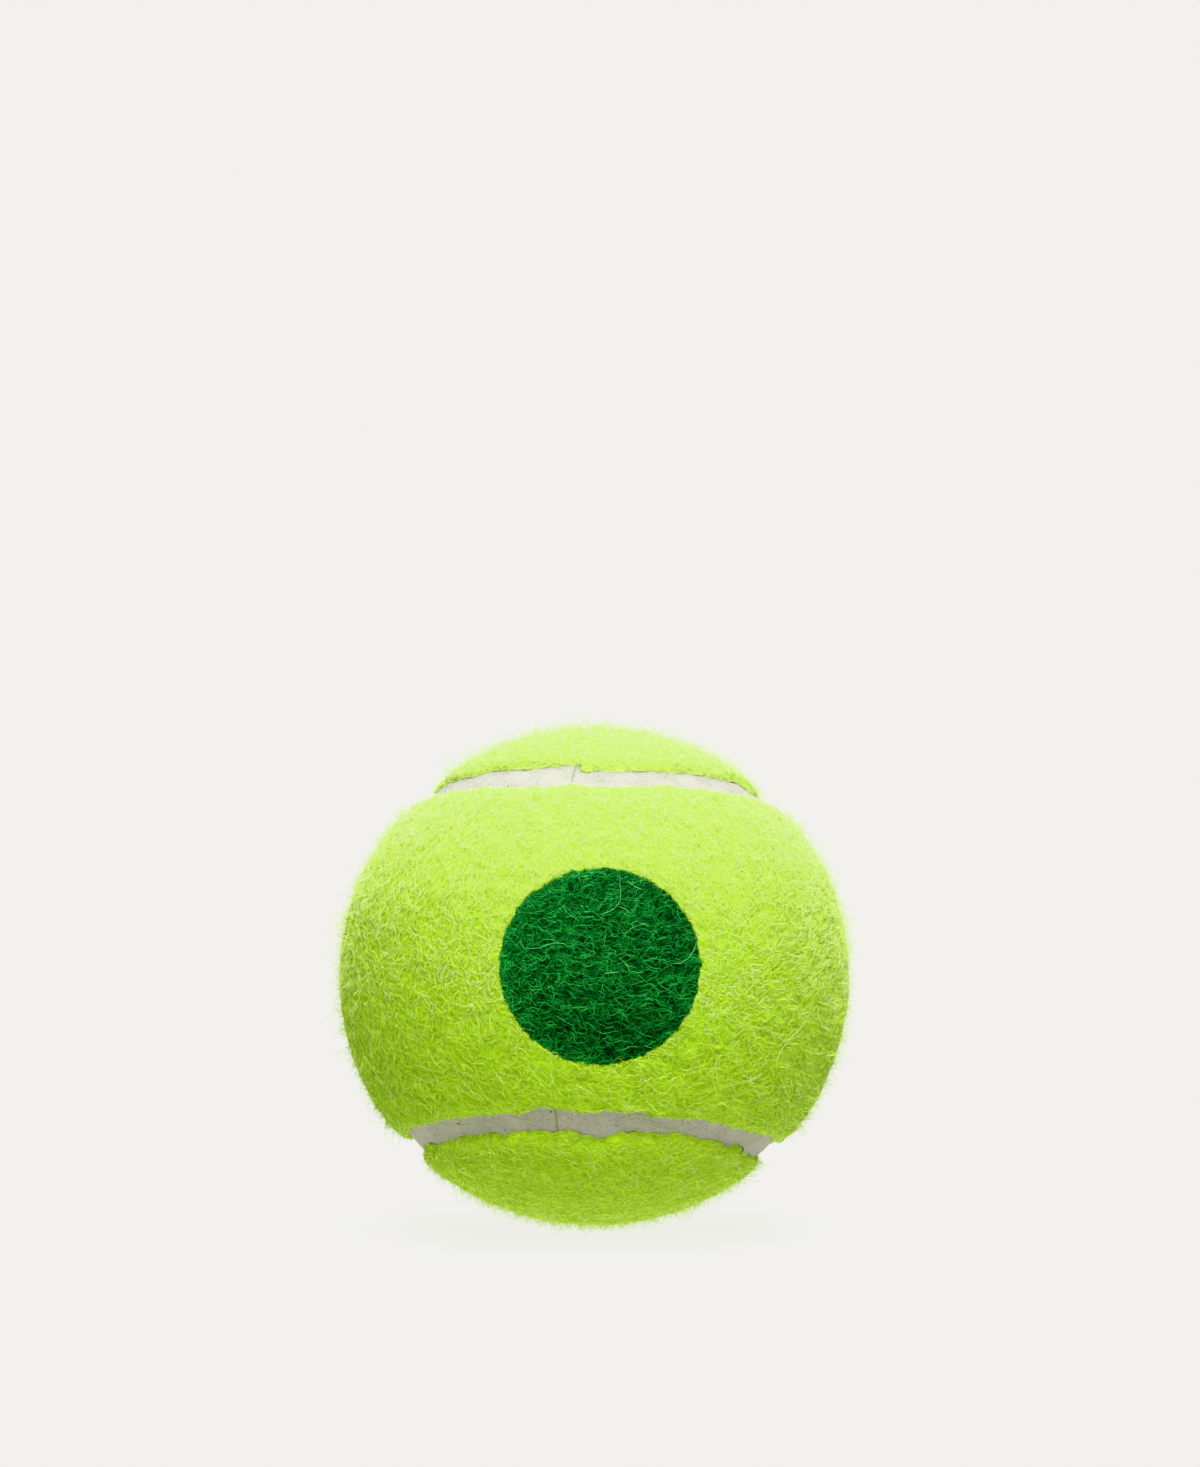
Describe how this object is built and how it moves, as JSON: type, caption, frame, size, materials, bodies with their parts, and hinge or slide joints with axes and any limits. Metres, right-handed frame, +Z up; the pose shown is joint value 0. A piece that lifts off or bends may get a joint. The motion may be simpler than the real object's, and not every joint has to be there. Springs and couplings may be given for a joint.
{
  "type": "tennis ball",
  "caption": "Round felt-covered rubber ball whose curved seam parts dog-bone panels, with a plain dark green spot printed on the nap; thrown, hit and bounced in play.",
  "frame": {"origin": "centre of the ball", "axes": "+Z up through the top of the ball, -Y towards the side that carries the printed spot, +X to the right as the spot is looked at"},
  "size_m": [0.066, 0.066, 0.066],
  "materials": {
    "core_rubber": "matte",
    "joint_cement": "matte",
    "cover_cement": "matte",
    "backing_cloth": "matte",
    "felt_nap": "matte",
    "seam_rubber": "matte",
    "spot_ink": "matte"
  },
  "bodies": {
    "root": {"core_half_left": "core_rubber", "core_half_right": "core_rubber", "core_joint_cement": "joint_cement", "core_cement_coat": "cover_cement", "back_cement_a": "cover_cement", "back_cement_b": "cover_cement", "backing_cloth_a": "backing_cloth", "backing_cloth_b": "backing_cloth", "felt_nap_a": "felt_nap", "felt_nap_b": "felt_nap", "seam_rubber": "seam_rubber", "printed_spot": "spot_ink"}
  },
  "joints": []
}
